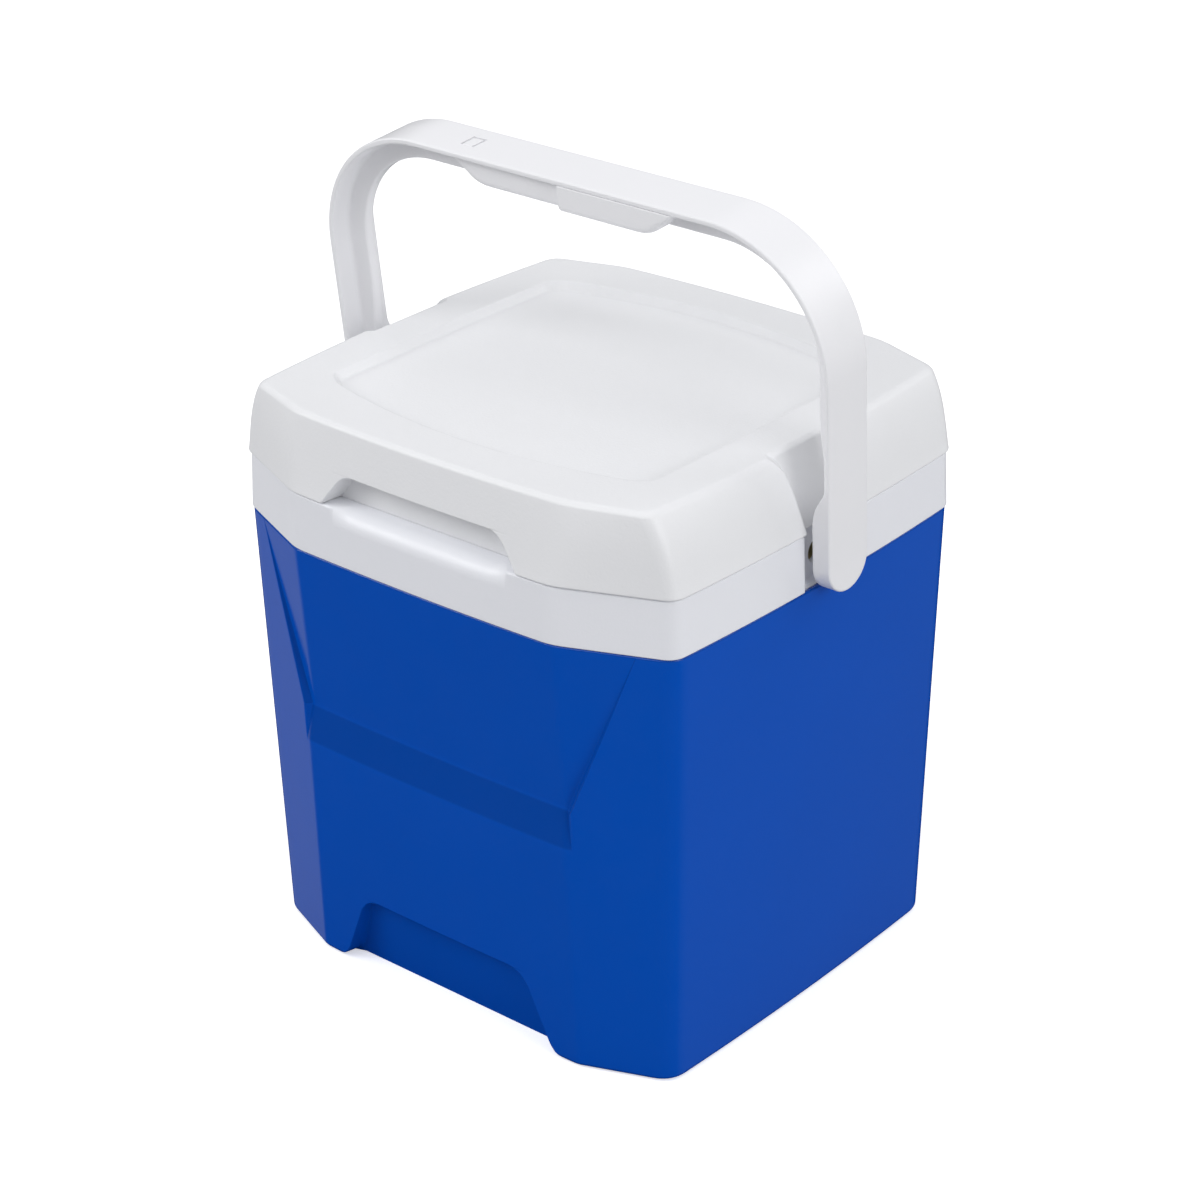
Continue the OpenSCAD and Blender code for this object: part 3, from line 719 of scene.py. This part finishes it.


# the blue shell gets painted shade, a quarter darker, on its shelf and other up-facing slopes
BLUE = plastic("shell_blue_moulded", (0.0002, 0.082, 0.51), 0.2, spec=0.3, painted_shade_up=0.25, vary=0.03,
               rough_vary=0.02, grain=1100.0, grain_depth=0.00002)
WHITE_LINER = plastic("liner_white_moulded", (0.86, 0.87, 0.91), 0.36, vary=0.008)
WHITE_LID = plastic("lid_white_textured", (0.84, 0.845, 0.86), 0.42, vary=0.01, grain=700.0,
                    grain_depth=0.00009)
WHITE_HANDLE = plastic("handle_white_moulded", (0.88, 0.88, 0.9), 0.34, vary=0.008)
FOAM = plastic("foam_cells", (0.86, 0.74, 0.40), 0.85, vary=0.12, grain=420.0,
               grain_depth=0.0004)

# ---------- camera, at the photograph's angle ----------

cam_data = bpy.data.cameras.new("cam")
cam = bpy.data.objects.new("cam", cam_data)
bpy.context.scene.collection.objects.link(cam)
az, el, roll = radians(40.457), radians(26.608), radians(-0.8)
back = Vector((sin(az) * cos(el), -cos(az) * cos(el), sin(el)))
right0 = Vector((cos(az), sin(az), 0))
up0 = back.cross(right0)
right = right0 * cos(roll) + up0 * sin(roll)
up = up0 * cos(roll) - right0 * sin(roll)
loc = Vector((0.930226, -1.090743, 0.897052))
cam.matrix_world = Matrix((
    (right.x, up.x, back.x, loc.x), (right.y, up.y, back.y, loc.y),
    (right.z, up.z, back.z, loc.z), (0, 0, 0, 1)))
cam_data.lens = 96.398
cam_data.sensor_width = 36.0
cam_data.clip_end = 50
bpy.context.scene.camera = cam

# ---------- the pieces ----------

shell = loft("shell", shell_rings())
weighted(shell)
put(shell, BLUE)
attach(shell, "body")
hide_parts("outer_shell")

liner = loft("tub_and_collar", liner_rings())
for sx in (1, -1):
    bore_r = PEG_R + 0.06
    profile = [(119.0 * sx, bore_r), (140.0 * sx, bore_r)]
    cut(liner, loft("bore", disc_rings(profile, 64, lambda p: p + np.array([0, 0, PIVOT_Z]))))
weighted(liner)
put(liner, WHITE_LINER)
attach(liner, "body")
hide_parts("inner_liner")

lid = loft("lid", lid_inside_rings()[::-1] + lid_rings())
weighted(lid)
put(lid, WHITE_LID)
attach(lid, "lid")
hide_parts("lid_cover")

under = loft("lid_underside", underside_rings())
weighted(under)
put(under, WHITE_LINER)
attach(under, "lid")
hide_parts("lid_liner")

pegs = []
for sx in (1, -1):
    profile = [(sx * 143.2, PEG_R), (sx * 123.0, PEG_R), (sx * 122.4, PEG_R - 0.25),
               (sx * 122.0, PEG_R - 0.8)]
    pegs.append(disc_rings(profile, 48, at_pivot))
bail = loft("bail", station_rings(), *pegs)
slot = block(TAB_X - 4.3, TAB_X + 4.3, 5.1, REACH - WEB_T - 1.5, REACH + 2, 0.1)
cut(bail, loft("slot", slot))
weighted(bail)
put(bail, WHITE_HANDLE)
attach(bail, "handle")
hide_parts("handle_bail")

tab = block(TAB_X - 3.6, TAB_X + 2.6, 4.2, REACH - WEB_T - 0.6, REACH - 0.1, 0.5)
grip = loft("grip", grip_rings(), tab)
weighted(grip)
put(grip, WHITE_HANDLE)
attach(grip, "handle")
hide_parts("handle_grip")

for node in ("body_foam", "lid_foam"):
    put(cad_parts[node], FOAM)

# ---------- floor and light ----------

bpy.ops.mesh.primitive_plane_add(size=30, location=(0, 0, 0))
floor = bpy.context.object
floor.name = "floor"
floor_pale = bpy.data.materials.new("floor_pale")
floor_pale.use_nodes = True
floor_shader = floor_pale.node_tree.nodes["Principled BSDF"]
floor_shader.inputs["Base Color"].default_value = (0.9, 0.9, 0.9, 1)
floor_shader.inputs["Roughness"].default_value = 0.9
floor_shader.inputs["Specular IOR Level"].default_value = 0.0
floor_shader.inputs["Emission Color"].default_value = (1, 1, 1, 1)
floor_shader.inputs["Emission Strength"].default_value = 0.5
floor.data.materials.append(floor_pale)
floor.visible_glossy = False
floor.visible_diffuse = False

# what the floor sends back up, kept darker than the floor looks
bpy.ops.mesh.primitive_plane_add(size=30, location=(0, 0, -0.004))
bounce = bpy.context.object
bounce.name = "floor_bounce"
bounce_grey = bpy.data.materials.new("floor_bounce")
bounce_grey.use_nodes = True
bounce_shader = bounce_grey.node_tree.nodes["Principled BSDF"]
bounce_shader.inputs["Base Color"].default_value = (0.8, 0.8, 0.8, 1)
bounce_shader.inputs["Roughness"].default_value = 1.0
bounce_shader.inputs["Specular IOR Level"].default_value = 0.0
bounce.data.materials.append(bounce_grey)
bounce.visible_camera = False
bounce.visible_glossy = False
bounce.visible_shadow = False


def area(name, loc, aim_z, size, power):
    """Square area light at loc, aimed at height aim_z of the object's axis."""
    li = bpy.data.lights.new(name, "AREA")
    li.shape = "RECTANGLE"
    li.size = li.size_y = size
    li.energy = power
    o = bpy.data.objects.new(name, li)
    bpy.context.scene.collection.objects.link(o)
    o.location = loc
    aim = Vector((0, 0, aim_z)) - Vector(loc)
    o.rotation_euler = aim.to_track_quat("-Z", "Y").to_euler()


area("left", (-1.9, -1.7, 1.5), 0.15, 1.2, 22.0)
area("right", (2.4, -0.3, 0.9), 0.15, 1.2, 20.0)
area("back_right", (1.4, 2.0, 1.8), 0.2, 1.2, 9.0)
area("front", (-0.2, -1.9, 2.4), 0.15, 1.4, 12.0)

# a soft white dome above, and below the horizon a dark room with three pale cards
world = bpy.data.worlds.new("studio")
world.use_nodes = True
wt = world.node_tree
bg = wt.nodes["Background"]
bg.inputs["Strength"].default_value = 1.0
wtc = wt.nodes.new("ShaderNodeTexCoord")


def world_math(kind, a, b):
    n = wt.nodes.new("ShaderNodeMath")
    n.operation = kind
    for k, v in enumerate((a, b)):
        if isinstance(v, (int, float)):
            n.inputs[k].default_value = v
        else:
            wt.links.new(v, n.inputs[k])
    return n.outputs[0]


def glow(direction, inner, outer, level):
    """Brightness level inside the inner angle round a direction, fading to 0 at the outer one."""
    dot = wt.nodes.new("ShaderNodeVectorMath")
    dot.operation = "DOT_PRODUCT"
    wt.links.new(wtc.outputs["Generated"], dot.inputs[0])
    dot.inputs[1].default_value = Vector(direction).normalized()
    mr = wt.nodes.new("ShaderNodeMapRange")
    mr.interpolation_type = "SMOOTHSTEP"
    mr.inputs["From Min"].default_value = cos(radians(outer))
    mr.inputs["From Max"].default_value = cos(radians(inner))
    mr.inputs["To Min"].default_value = 0.0
    mr.inputs["To Max"].default_value = level
    wt.links.new(dot.outputs["Value"], mr.inputs["Value"])
    return mr.outputs["Result"]


dome = glow((0, 0, 1), 66, 82, 0.74)
left_card = glow((-0.93, 0.02, -0.4), 8, 24, 0.34)
front_card = glow((-0.58, -0.68, -0.5), 10, 26, 0.03)
right_card = glow((0.62, 0.66, -0.42), 15, 38, 0.16)
total = dome
for card in (left_card, right_card, front_card):
    total = world_math("ADD", total, card)
tint = wt.nodes.new("ShaderNodeCombineColor")
for channel, share in enumerate((0.985, 0.99, 1.01)):
    wt.links.new(world_math("MULTIPLY", total, share), tint.inputs[channel])
wt.links.new(tint.outputs[0], bg.inputs["Color"])
bpy.context.scene.world = world
bpy.context.scene.view_settings.view_transform = "Standard"
bpy.context.scene.view_settings.look = "None"
